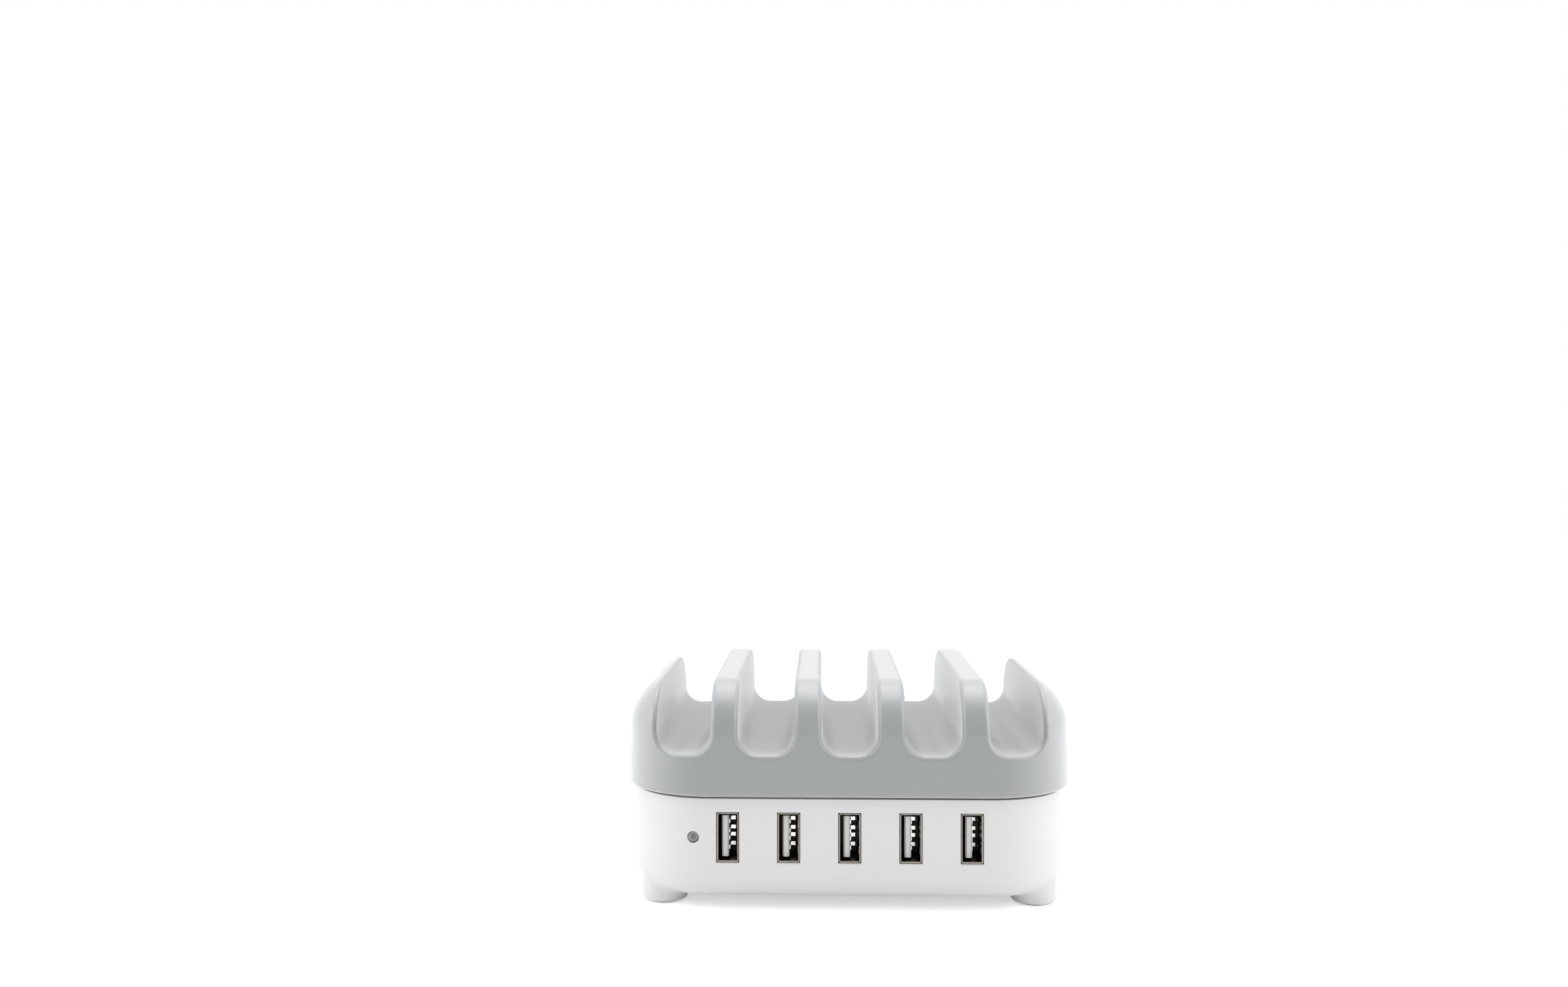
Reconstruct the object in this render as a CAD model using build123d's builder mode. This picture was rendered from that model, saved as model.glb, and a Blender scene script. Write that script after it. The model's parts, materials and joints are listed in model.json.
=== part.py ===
import os
from math import cos, radians, sin, sqrt

from build123d import *

# Desktop charger for several devices: a white base with upright sockets in its front wall,
# under a grey moulded cover whose slots hold the devices on edge.
# Millimetres, +Z up, front towards -Y, origin on the ground under the middle.

# Cover
cover_width = 125.0
cover_depth = 98.0
cover_height = 30.2  # seam to top
cover_corner_radius = 24.5  # corners in plan
cover_shoulder = 15.0  # round between walls and top
cover_wall = 2.0
cover_rim_bevel = 0.5

# Slots through the cover, front to back
slot_count = 5
slot_pitch_share = 0.1812  # of the cover's width
slot_width = 15.2
slot_floor_rise = 11.2  # seam to slot floor
slot_floor_round = 5.5
slot_lip_bevel = 0.9

# Base
base_height = 28.3  # underside to seam
base_wall = 2.4
base_floor = 2.2
base_bottom_round = 6.0
skirt_clearance = 0.2  # base wall inside the cover
rim_overlap = 4.0  # base wall above the seam, hidden in the cover
groove_height = 0.8  # shadow gap under the cover's rim
groove_depth = 0.8

# Feet and pads
leg_height = 3.0  # base underside to leg bottom
leg_radius = 6.3
leg_angle = 33.0  # where the leg touches the corner wall, from the side
leg_edge_bevel = 1.4
pad_radius = 3.8  # plug in the leg
pad_flange_radius = 4.7
pad_proud = 0.4  # below the leg
pad_recess = 1.6  # up in the leg
pad_clearance = 0.1

# Screws that hold the cover, driven up through the legs
case_screw_radius = 1.4
case_screw_length = 25.0
case_head_radius = 2.75
case_head_height = 2.0
case_head_clearance = 0.3
screw_hole_clearance = 0.3
pilot_clearance = 0.05
boss_radius = 4.0
boss_height = 14.6  # tub floor to the landing of the cover posts
post_radius = 2.9
post_hole_spare = 1.0  # pilot depth past the screw tip

# Sockets
port_count = 5
port_pitch_share = 0.1368  # of the base's width
port_drop = 11.4  # seam to socket centre
mouth_width = 5.12
mouth_height = 12.5
shell_metal = 0.35
shell_corner = 0.5
shell_length = 14.0
shell_setback = 0.4  # behind the outer face of the wall
shell_mouth_bevel = 0.15
window_clearance = 0.2
window_bevel = 0.3

# Socket insides
tongue_thickness = 1.84
tongue_height = 11.1
tongue_side_gap = 0.9  # from the left inner wall of the shell
tongue_setback = 1.7  # from the shell's mouth
tongue_tip_bevel = 0.4
insulator_block = 3.2
contact_spacings = (-3.5, -1.0, 1.0, 3.5)  # heights from the socket centre
contact_width = 1.0
contact_metal = 0.25
contact_rise = 1.5  # off the tongue, at the arch
contact_tip_setback = 2.0  # from the tongue tip
contact_flat = 4.2  # lying along the tongue
contact_ramp = 1.0

# Status lamp
lamp_offset_share = 0.57  # left of the first socket, in socket pitches
lamp_radius = 1.5
lamp_length = 5.3
lamp_flange_radius = 1.9
lamp_flange = 1.0
lamp_recess = 0.2
lamp_bevel = 0.5
lamp_hole_clearance = 0.1
lead_spacing = 2.54
lead_size = 0.5
lead_run = 2.0

# Circuit board
board_thickness = 1.6
board_wall_gap = 0.5
board_front_gap = 3.4  # the sockets overhang the front edge
board_boss_gap = 0.6
standoff_size = 6.0
standoff_inset = 5.4  # from the board's sides
standoff_front_inset = 17.0
standoff_rear_inset = 7.9
board_screw_radius = 1.2
board_screw_length = 6.4
board_head_radius = 2.3
board_head_height = 1.6

# Mains inlet
inlet_width = 20.4
inlet_height = 11.6
inlet_corner = 1.5
inlet_length = 16.0
inlet_lip = 1.0  # flange round the nose
inlet_flange = 1.6
inlet_window_clearance = 0.2
inlet_corner_gap = 0.8  # flange to the corner's bend
inlet_sole_width = 16.0
inlet_lobe_radius = 4.3
inlet_waist = 7.0
inlet_recess = 13.0
inlet_pin_spacing = 8.6
inlet_pin_radius = 1.2
inlet_pin_length = 9.5
inlet_pin_bevel = 0.5

# Vents in the underside
vent_count = 8
vent_pitch = 7.0
vent_length = 38.0
vent_width = 2.4

# Power supply parts: length along X, depth along Y, height above the board
# Shares place a part: across by the board's width, in depth by the base's
row_gap_share = 0.16  # of the room left over between the parts beside the inlet
fuse_size = (8.4, 4.0, 7.6)
fuse_depth_share = 0.406
filter_size = (9.0, 18.0, 15.0)
filter_depth_share = 0.331
rectifier_size = (8.6, 6.4, 3.4)
rectifier_shares = (0.388, 0.128)
optocoupler_size = (4.6, 6.5, 3.5)
optocoupler_share = -0.172
optocoupler_gap = 23.4  # behind the sockets
box_bevel = 0.5

choke_size = (22.0, 16.0)
choke_leg = 4.0
choke_coil_radius = 4.6  # to a flat
choke_coil_sides = 12
choke_coil_turn = 15.0  # a flat rests on the board
choke_coil_wall_gap = 0.5
choke_depth_share = 0.331

bulk_radius = 8.0
bulk_height = 21.0
bulk_shares = (0.377, -0.021)
output_radius = 4.0
output_height = 12.5
output_shares = (-0.291, -0.183, 0.108)
output_gaps = (16.4, 14.4, 15.9)  # behind the sockets

transformer_size = (26.0, 23.0)
transformer_leg = 7.0
transformer_yoke = 4.5
transformer_coil_size = (17.0, 18.0)
transformer_coil_round = 1.5
transformer_shares = (0.086, 0.053)
core_clearance = 0.1

sink_length = 30.0
sink_height = 18.0
sink_plate = 2.4
sink_fin_count = 6
sink_fin = 1.2
sink_fin_reach = 6.0
sink_shares = (-0.356, 0.0855)
transistor_size = (4.4, 10.0, 9.0)
transistor_tab = 1.3
transistor_tab_height = 15.5
transistor_lead = (0.6, 0.9, 3.4)
transistor_lead_pitch = 2.54
transistor_lead_count = 3

chip_size = (4.9, 3.9, 1.5)
chip_gap = 1.6  # behind the sockets
chip_bevel = 0.2

# Heights and places worked out from the sizes above
foot_height = pad_proud + leg_height
seam_height = foot_height + base_height
cover_top = seam_height + cover_height
slot_floor = seam_height + slot_floor_rise
slot_pitch = slot_pitch_share * cover_width
slot_places = [(i - (slot_count - 1) / 2) * slot_pitch for i in range(slot_count)]

base_inset = cover_wall + skirt_clearance
base_width = cover_width - 2 * base_inset
base_depth = cover_depth - 2 * base_inset
base_corner_radius = cover_corner_radius - base_inset
tub_floor = foot_height + base_floor
wall_front = -base_depth / 2
wall_inside = base_depth / 2 - base_wall

leg_reach = base_corner_radius - leg_radius
leg_x = base_width / 2 - base_corner_radius + leg_reach * cos(radians(leg_angle))
leg_y = base_depth / 2 - base_corner_radius + leg_reach * sin(radians(leg_angle))
leg_places = [(sx * leg_x, sy * leg_y) for sx in (-1, 1) for sy in (-1, 1)]
pad_top = pad_proud + pad_recess
head_seat = pad_top + case_head_height + case_head_clearance
boss_top = tub_floor + boss_height

shell_width = mouth_width + 2 * shell_metal
shell_height = mouth_height + 2 * shell_metal
shell_front = wall_front + shell_setback
shell_back = shell_front + shell_length
port_height = seam_height - port_drop
port_pitch = port_pitch_share * base_width
port_places = [(i - (port_count - 1) / 2) * port_pitch for i in range(port_count)]

board_top = port_height - shell_height / 2
board_under = board_top - board_thickness
board_width = 2 * (leg_x - boss_radius - board_boss_gap)
board_front = -wall_inside + board_front_gap
board_rear = wall_inside - board_wall_gap
standoff_x = board_width / 2 - standoff_inset
standoff_front = board_front + standoff_front_inset
standoff_rear = board_rear - standoff_rear_inset
standoff_places = [(sx * standoff_x, y) for sx in (-1, 1) for y in (standoff_front, standoff_rear)]
board_screw_places = [(sx * standoff_x, standoff_front) for sx in (-1, 1)]

lamp_x = port_places[0] - lamp_offset_share * port_pitch
inlet_z = board_top + inlet_lip + inlet_height / 2
inlet_reach = inlet_width / 2 + inlet_lip
inlet_x = -(base_width / 2 - base_corner_radius - inlet_corner_gap - inlet_reach)

# Parts beside the inlet: fuse, filter capacitor and choke, evenly spaced
row_start = inlet_x + inlet_reach
row_room = board_width / 2 - row_start - fuse_size[0] - filter_size[0] - choke_size[0]
row_gap = row_room * row_gap_share
fuse_x = row_start + row_gap + fuse_size[0] / 2
filter_x = fuse_x + fuse_size[0] / 2 + row_gap + filter_size[0] / 2
choke_x = filter_x + filter_size[0] / 2 + row_gap + choke_size[0] / 2


def front_plane(y):
    # Upright plane at depth y: sketch axes are X and Z, and a negative extrude goes rearwards.
    return Plane.XZ.offset(-y)


def level_plane(z):
    return Plane.XY.offset(z)


def wall_depth_at(x):
    # Depth of the base's outer front face at x, which bends back round the corner.
    past_flat = max(abs(x) - (base_width / 2 - base_corner_radius), 0.0)
    bend = base_corner_radius - sqrt(base_corner_radius**2 - past_flat**2)
    return wall_front + bend


def on_board(shares):
    across, in_depth = shares
    return (across * board_width, in_depth * base_depth)


def save(piece, name):
    piece.part.label = name
    export_step(piece.part, f"parts/{name}.step")


def loaf(inset):
    # The cover's outer form, drawn in by inset on the walls and the top.
    with BuildPart() as form:
        with BuildSketch(level_plane(seam_height)):
            RectangleRounded(
                cover_width - 2 * inset, cover_depth - 2 * inset, cover_corner_radius - inset
            )
        extrude(amount=cover_height - inset)
        fillet(form.faces().sort_by(Axis.Z)[-1].edges(), cover_shoulder - inset)
    return form.part


def slot_channels(margin):
    # The device slots as bars that run past both faces and the top, grown by margin.
    channel_height = 2 * cover_height
    with BuildPart() as channels:
        with BuildSketch(Plane.XZ):
            with Locations(*[(x, slot_floor - margin) for x in slot_places]):
                RectangleRounded(
                    slot_width + 2 * margin,
                    channel_height,
                    slot_floor_round + margin,
                    align=(Align.CENTER, Align.MIN),
                )
        extrude(amount=cover_depth, both=True)
    return channels.part


lamp_tip = wall_depth_at(lamp_x) + lamp_recess
lamp_back = lamp_tip + lamp_length
os.makedirs("parts", exist_ok=True)

# Grey cover: outer loaf, slots with eased lips, then the hollow that follows both
with BuildPart() as cover_hollow:
    add(loaf(cover_wall))
    add(slot_channels(cover_wall), mode=Mode.SUBTRACT)

with BuildPart() as cover_posts:
    with BuildSketch(level_plane(boss_top)):
        with Locations(*leg_places):
            Circle(post_radius)
    extrude(amount=slot_floor + slot_floor_round - boss_top)
    add(slot_channels(cover_wall / 2), mode=Mode.SUBTRACT)
    with BuildSketch(level_plane(boss_top)):
        with Locations(*leg_places):
            Circle(case_screw_radius + pilot_clearance)
    extrude(amount=head_seat + case_screw_length + post_hole_spare - boss_top, mode=Mode.SUBTRACT)

with BuildPart() as top_cover:
    add(loaf(0.0))
    chamfer(top_cover.faces().sort_by(Axis.Z)[0].edges(), cover_rim_bevel)
    add(slot_channels(0.0), mode=Mode.SUBTRACT)
    slot_edges = top_cover.edges(Select.LAST)
    floor_creases = slot_edges.filter_by(Axis.Y).filter_by_position(
        Axis.Z, slot_floor, cover_top, inclusive=(True, False)
    )
    chamfer(slot_edges - floor_creases, slot_lip_bevel)
    add(cover_hollow.part, mode=Mode.SUBTRACT)
    add(cover_posts.part)
save(top_cover, "top_cover")

# White base: tub with rounded bottom, legs, screw bosses and board standoffs
with BuildPart() as tub_hollow:
    with BuildSketch(level_plane(tub_floor)):
        RectangleRounded(
            base_width - 2 * base_wall, base_depth - 2 * base_wall, base_corner_radius - base_wall
        )
    extrude(amount=base_height + rim_overlap)
    chamfer(tub_hollow.faces().sort_by(Axis.Z)[0].edges(), base_bottom_round - base_wall)

with BuildPart() as tub_posts:
    with BuildSketch(level_plane(foot_height + base_floor / 2)):
        with Locations(*leg_places):
            Circle(boss_radius)
    extrude(amount=boss_top - foot_height - base_floor / 2)
    with BuildSketch(level_plane(foot_height + base_floor / 2)):
        with Locations(*standoff_places):
            Rectangle(standoff_size, standoff_size)
    extrude(amount=board_under - foot_height - base_floor / 2)

with BuildPart() as base_housing:
    with BuildSketch(level_plane(foot_height)):
        RectangleRounded(base_width, base_depth, base_corner_radius)
    extrude(amount=base_height + rim_overlap)
    fillet(base_housing.faces().sort_by(Axis.Z)[0].edges(), base_bottom_round)
    add(tub_hollow.part, mode=Mode.SUBTRACT)
    # Shadow gap under the cover's rim
    with BuildSketch(level_plane(seam_height)):
        RectangleRounded(base_width, base_depth, base_corner_radius)
        RectangleRounded(
            base_width - 2 * groove_depth,
            base_depth - 2 * groove_depth,
            base_corner_radius - groove_depth,
            mode=Mode.SUBTRACT,
        )
    extrude(amount=-groove_height, mode=Mode.SUBTRACT)
    # Legs run up into the rounded bottom edge, flush with the corner walls
    with BuildSketch(level_plane(pad_proud)):
        with Locations(*leg_places):
            Circle(leg_radius)
    extrude(amount=leg_height + base_bottom_round)
    chamfer(base_housing.faces().group_by(Axis.Z)[0].edges(), leg_edge_bevel)
    add(tub_posts.part)
    # Bores for the screw heads and the pads that plug them, then screw holes
    with BuildSketch(level_plane(pad_proud)):
        with Locations(*leg_places):
            Circle(pad_radius + pad_clearance)
    extrude(amount=head_seat - pad_proud, mode=Mode.SUBTRACT)
    with BuildSketch(level_plane(head_seat)):
        with Locations(*leg_places):
            Circle(case_screw_radius + screw_hole_clearance)
    extrude(amount=boss_top - head_seat, mode=Mode.SUBTRACT)
    # Pilot holes in the front standoffs
    with BuildSketch(level_plane(board_under)):
        with Locations(*board_screw_places):
            Circle(board_screw_radius + pilot_clearance)
    extrude(amount=tub_floor - board_under, mode=Mode.SUBTRACT)
    # Socket windows with bevelled outer edges
    with BuildSketch(front_plane(wall_front)):
        with Locations(*[(x, port_height) for x in port_places]):
            Rectangle(shell_width + 2 * window_clearance, shell_height + 2 * window_clearance)
    extrude(amount=-base_wall, mode=Mode.SUBTRACT)
    window_edges = base_housing.edges(Select.LAST).group_by(Axis.Y)[0]
    chamfer(window_edges, window_bevel)
    # Lamp hole in the front wall and inlet window in the rear wall
    with BuildSketch(front_plane(wall_front)):
        with Locations((lamp_x, port_height)):
            Circle(lamp_radius + lamp_hole_clearance)
    extrude(amount=wall_front - lamp_back, mode=Mode.SUBTRACT)
    with BuildSketch(front_plane(wall_inside)):
        with Locations((inlet_x, inlet_z)):
            RectangleRounded(
                inlet_width + 2 * inlet_window_clearance,
                inlet_height + 2 * inlet_window_clearance,
                inlet_corner + inlet_window_clearance,
            )
    extrude(amount=-base_wall, mode=Mode.SUBTRACT)
    # Vents in the floor
    with BuildSketch(level_plane(foot_height)):
        with GridLocations(vent_pitch, vent_pitch, vent_count, 1):
            Rectangle(vent_width, vent_length)
    extrude(amount=base_floor, mode=Mode.SUBTRACT)
save(base_housing, "base_housing")

# Rubber pads, one under each leg
for pad_x, pad_y in leg_places:
    with BuildPart() as foot_pad:
        with BuildSketch():
            with Locations((pad_x, pad_y)):
                Circle(pad_flange_radius)
        extrude(amount=pad_proud)
        with BuildSketch(level_plane(pad_proud)):
            with Locations((pad_x, pad_y)):
                Circle(pad_radius)
        extrude(amount=pad_recess)
    side = "left" if pad_x < 0 else "right"
    end = "front" if pad_y < 0 else "rear"
    save(foot_pad, f"foot_pad_{end}_{side}")

# Screws that hold the cover, heads down in the legs
with BuildPart() as case_screws:
    with BuildSketch(level_plane(head_seat - case_head_height)):
        with Locations(*leg_places):
            Circle(case_head_radius)
    extrude(amount=case_head_height)
    with BuildSketch(level_plane(head_seat)):
        with Locations(*leg_places):
            Circle(case_screw_radius)
    extrude(amount=case_screw_length)
save(case_screws, "case_screws")

# Circuit board on its standoffs
with BuildPart() as main_board:
    with BuildSketch(level_plane(board_under)):
        RectangleRounded(
            base_width - 2 * (base_wall + board_wall_gap),
            2 * board_rear,
            base_corner_radius - base_wall - board_wall_gap,
        )
        with Locations((0.0, (board_front + board_rear) / 2)):
            Rectangle(board_width, board_rear - board_front, mode=Mode.INTERSECT)
        with Locations(*board_screw_places):
            Circle(board_screw_radius + screw_hole_clearance, mode=Mode.SUBTRACT)
    extrude(amount=board_thickness)
save(main_board, "main_board")

with BuildPart() as board_screws:
    with BuildSketch(level_plane(board_top)):
        with Locations(*board_screw_places):
            Circle(board_head_radius)
    extrude(amount=board_head_height)
    with BuildSketch(level_plane(board_top)):
        with Locations(*board_screw_places):
            Circle(board_screw_radius)
    extrude(amount=-board_screw_length)
save(board_screws, "board_screws")

# Upright type-A sockets: shell, insulator with its tongue, and spring contacts
block_front = shell_back - insulator_block
tongue_tip = shell_front + tongue_setback
contact_run = block_front - tongue_tip - contact_tip_setback
contact_steps = (
    (0.0, contact_metal),
    (contact_flat, contact_metal),
    (contact_flat + contact_ramp, contact_rise),
    (contact_run, contact_rise),
)
for number, port_x in enumerate(port_places, start=1):
    with BuildPart() as usb_shell:
        with BuildSketch(front_plane(shell_front)):
            with Locations((port_x, port_height)):
                RectangleRounded(shell_width, shell_height, shell_corner)
                Rectangle(mouth_width, mouth_height, mode=Mode.SUBTRACT)
        extrude(amount=-shell_length)
        mouth_edges = usb_shell.faces().sort_by(Axis.Y)[0].inner_wires()[0].edges()
        chamfer(mouth_edges, shell_mouth_bevel)
    save(usb_shell, f"usb_shell_{number}")

    tongue_x = port_x - mouth_width / 2 + tongue_side_gap + tongue_thickness / 2
    with BuildPart() as usb_insulator:
        with BuildSketch(front_plane(block_front)):
            with Locations((port_x, port_height)):
                Rectangle(mouth_width, mouth_height)
        extrude(amount=-insulator_block)
        with BuildSketch(front_plane(tongue_tip)):
            with Locations((tongue_x, port_height)):
                Rectangle(tongue_thickness, tongue_height)
        extrude(amount=tongue_tip - block_front)
        tip_edges = usb_insulator.faces().sort_by(Axis.Y)[0].edges().filter_by(Axis.Z)
        chamfer(tip_edges, tongue_tip_bevel)
    save(usb_insulator, f"usb_insulator_{number}")

    # Each contact lies along the tongue, then arches off it before the rear block
    contact_face = tongue_x + tongue_thickness / 2
    contact_start = tongue_tip + contact_tip_setback
    outer_side = [(contact_face + rise, contact_start + run) for run, rise in contact_steps]
    inner_side = [(x - contact_metal, y) for x, y in reversed(outer_side)]
    with BuildPart() as usb_contacts:
        for spacing in contact_spacings:
            with BuildSketch(level_plane(port_height + spacing)):
                with BuildLine():
                    Polyline(*outer_side, *inner_side, close=True)
                make_face()
            extrude(amount=contact_width / 2, both=True)
    save(usb_contacts, f"usb_contacts_{number}")

# Status lamp: round lens with a flange, and two leads bent down to the board
with BuildPart() as status_lamp:
    with BuildSketch(front_plane(lamp_tip)):
        with Locations((lamp_x, port_height)):
            Circle(lamp_radius)
    extrude(amount=-lamp_length)
    chamfer(status_lamp.faces().sort_by(Axis.Y)[0].edges(), lamp_bevel)
    with BuildSketch(front_plane(lamp_back)):
        with Locations((lamp_x, port_height)):
            Circle(lamp_flange_radius)
    extrude(amount=lamp_flange)
save(status_lamp, "status_lamp")

with BuildPart() as lamp_leads:
    for side in (-1, 1):
        with BuildSketch(Plane.YZ.offset(lamp_x + side * lead_spacing / 2)):
            with BuildLine():
                Polyline(
                    (lamp_back, port_height + lead_size / 2),
                    (lamp_back + lead_run, port_height + lead_size / 2),
                    (lamp_back + lead_run, board_top),
                    (lamp_back + lead_run - lead_size, board_top),
                    (lamp_back + lead_run - lead_size, port_height - lead_size / 2),
                    (lamp_back, port_height - lead_size / 2),
                    close=True,
                )
            make_face()
        extrude(amount=lead_size / 2, both=True)
save(lamp_leads, "lamp_leads")

# Mains inlet: nose through the rear wall, flange behind it, and a sole on the board
inlet_mouth = base_depth / 2
inlet_floor = inlet_mouth - inlet_recess
inlet_back = inlet_mouth - inlet_length
flange_back = wall_inside - inlet_flange
with BuildPart() as inlet_body:
    with BuildSketch(front_plane(inlet_mouth)):
        with Locations((inlet_x, inlet_z)):
            RectangleRounded(inlet_width, inlet_height, inlet_corner)
    extrude(amount=inlet_length)
    with BuildSketch(front_plane(wall_inside)):
        with Locations((inlet_x, inlet_z)):
            RectangleRounded(inlet_width + 2 * inlet_lip, inlet_height + 2 * inlet_lip, inlet_corner)
    extrude(amount=inlet_flange)
    with BuildSketch(front_plane(flange_back)):
        with Locations((inlet_x, board_top)):
            Rectangle(inlet_sole_width, inlet_lip + inlet_corner, align=(Align.CENTER, Align.MIN))
    extrude(amount=flange_back - inlet_back)
    with BuildSketch(front_plane(inlet_mouth)):
        with Locations((inlet_x, inlet_z)):
            Rectangle(inlet_pin_spacing, inlet_waist)
            with GridLocations(inlet_pin_spacing, inlet_waist, 2, 1):
                Circle(inlet_lobe_radius)
    extrude(amount=inlet_recess, mode=Mode.SUBTRACT)
save(inlet_body, "inlet_body")

with BuildPart() as inlet_pins:
    with BuildSketch(front_plane(inlet_floor)):
        with Locations((inlet_x, inlet_z)):
            with GridLocations(inlet_pin_spacing, inlet_waist, 2, 1):
                Circle(inlet_pin_radius)
    extrude(amount=-inlet_pin_length)
    chamfer(inlet_pins.faces().group_by(Axis.Y)[-1].edges(), inlet_pin_bevel)
save(inlet_pins, "inlet_pins")


# Power supply on the board
def board_box(size, place):
    length, depth, height = size
    with BuildPart() as box:
        with BuildSketch(level_plane(board_top)):
            with Locations(place):
                Rectangle(length, depth)
        extrude(amount=height)
        chamfer(box.faces().sort_by(Axis.Z)[-1].edges(), box_bevel)
    return box


fuse_place = (fuse_x, fuse_depth_share * base_depth)
filter_place = (filter_x, filter_depth_share * base_depth)
optocoupler_place = (optocoupler_share * board_width, shell_back + optocoupler_gap)
save(board_box(fuse_size, fuse_place), "fuse")
save(board_box(filter_size, filter_place), "filter_capacitor")
save(board_box(rectifier_size, on_board(rectifier_shares)), "bridge_rectifier")
save(board_box(optocoupler_size, optocoupler_place), "optocoupler")


def capacitor_can(radius, height, place):
    with BuildPart() as can:
        with BuildSketch(level_plane(board_top)):
            with Locations(place):
                Circle(radius)
        extrude(amount=height)
    return can


save(capacitor_can(bulk_radius, bulk_height, on_board(bulk_shares)), "bulk_capacitor")
with BuildPart() as output_capacitors:
    for share, gap in zip(output_shares, output_gaps):
        output_place = (share * board_width, shell_back + gap)
        add(capacitor_can(output_radius, output_height, output_place).part)
save(output_capacitors, "output_capacitors")

# Filter choke: a square ferrite ring whose two long legs carry a coil each
choke_y = choke_depth_share * base_depth
choke_length, choke_depth = choke_size
choke_height = board_top + choke_coil_radius
coil_length = choke_length - 2 * choke_leg - 2 * choke_coil_wall_gap
coil_places = [(choke_y + s * (choke_depth - choke_leg) / 2, choke_height) for s in (-1, 1)]
with BuildPart() as choke_core:
    with BuildSketch(level_plane(choke_height - choke_leg / 2)):
        with Locations((choke_x, choke_y)):
            Rectangle(choke_length, choke_depth)
            Rectangle(choke_length - 2 * choke_leg, choke_depth - 2 * choke_leg, mode=Mode.SUBTRACT)
    extrude(amount=choke_leg)
save(choke_core, "choke_core")

with BuildPart() as choke_coils:
    with BuildSketch(Plane.YZ.offset(choke_x)):
        with Locations(*coil_places):
            RegularPolygon(
                choke_coil_radius, choke_coil_sides, major_radius=False, rotation=choke_coil_turn
            )
            Rectangle(choke_leg + 2 * core_clearance, choke_leg + 2 * core_clearance, mode=Mode.SUBTRACT)
    extrude(amount=coil_length / 2, both=True)
save(choke_coils, "choke_coils")

# Transformer: an E-shaped core pair round a wound bobbin that stands on the board
transformer_x, transformer_y = on_board(transformer_shares)
core_length, core_depth = transformer_size
coil_width, coil_height = transformer_coil_size
coil_depth = core_depth - 2 * transformer_yoke
transformer_height = board_top + coil_height / 2
core_window = coil_width / 2 - transformer_leg / 2 + core_clearance
with BuildPart() as transformer_core:
    with BuildSketch(level_plane(transformer_height - transformer_leg / 2)):
        with Locations((transformer_x, transformer_y)):
            Rectangle(core_length, core_depth)
            with GridLocations(transformer_leg + core_window, core_depth, 2, 1):
                Rectangle(core_window, coil_depth, mode=Mode.SUBTRACT)
    extrude(amount=transformer_leg)
save(transformer_core, "transformer_core")

with BuildPart() as transformer_coil:
    with BuildSketch(front_plane(transformer_y)):
        with Locations((transformer_x, transformer_height)):
            RectangleRounded(coil_width, coil_height, transformer_coil_round)
            Rectangle(
                transformer_leg + 2 * core_clearance,
                transformer_leg + 2 * core_clearance,
                mode=Mode.SUBTRACT,
            )
    extrude(amount=coil_depth / 2 - core_clearance, both=True)
save(transformer_coil, "transformer_coil")

# Heat sink: a finned extrusion on end, with the power transistor against its flat side
sink_x, sink_y = on_board(sink_shares)
fin_pitch = (sink_length - sink_fin) / (sink_fin_count - 1)
with BuildPart() as heat_sink:
    with BuildSketch(level_plane(board_top)):
        with Locations((sink_x, sink_y)):
            Rectangle(sink_plate, sink_length, align=(Align.MAX, Align.CENTER))
            with GridLocations(fin_pitch, fin_pitch, 1, sink_fin_count):
                Rectangle(sink_plate + sink_fin_reach, sink_fin, align=(Align.MAX, Align.CENTER))
    extrude(amount=sink_height)
save(heat_sink, "heat_sink")

transistor_thickness, transistor_width, transistor_height = transistor_size
lead_thickness, lead_width, lead_height = transistor_lead
with BuildPart() as power_transistor:
    with BuildSketch(level_plane(board_top + lead_height)):
        with Locations((sink_x, sink_y)):
            Rectangle(transistor_tab, transistor_width, align=(Align.MIN, Align.CENTER))
    extrude(amount=transistor_tab_height - lead_height)
    with BuildSketch(level_plane(board_top + lead_height)):
        with Locations((sink_x, sink_y)):
            Rectangle(transistor_thickness, transistor_width, align=(Align.MIN, Align.CENTER))
    extrude(amount=transistor_height)
    with BuildSketch(level_plane(board_top)):
        with Locations((sink_x + transistor_thickness / 2, sink_y)):
            with GridLocations(transistor_lead_pitch, transistor_lead_pitch, 1, transistor_lead_count):
                Rectangle(lead_thickness, lead_width)
    extrude(amount=lead_height)
save(power_transistor, "power_transistor")

# One charge controller behind each socket
chip_length, chip_depth, chip_height = chip_size
with BuildPart() as port_chips:
    with BuildSketch(level_plane(board_top)):
        with Locations(*[(x, shell_back + chip_gap + chip_depth / 2) for x in port_places]):
            Rectangle(chip_length, chip_depth)
    extrude(amount=chip_height)
    chamfer(port_chips.faces().group_by(Axis.Z)[-1].edges(), chip_bevel)
save(port_chips, "port_chips")
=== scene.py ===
import json
import math

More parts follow.
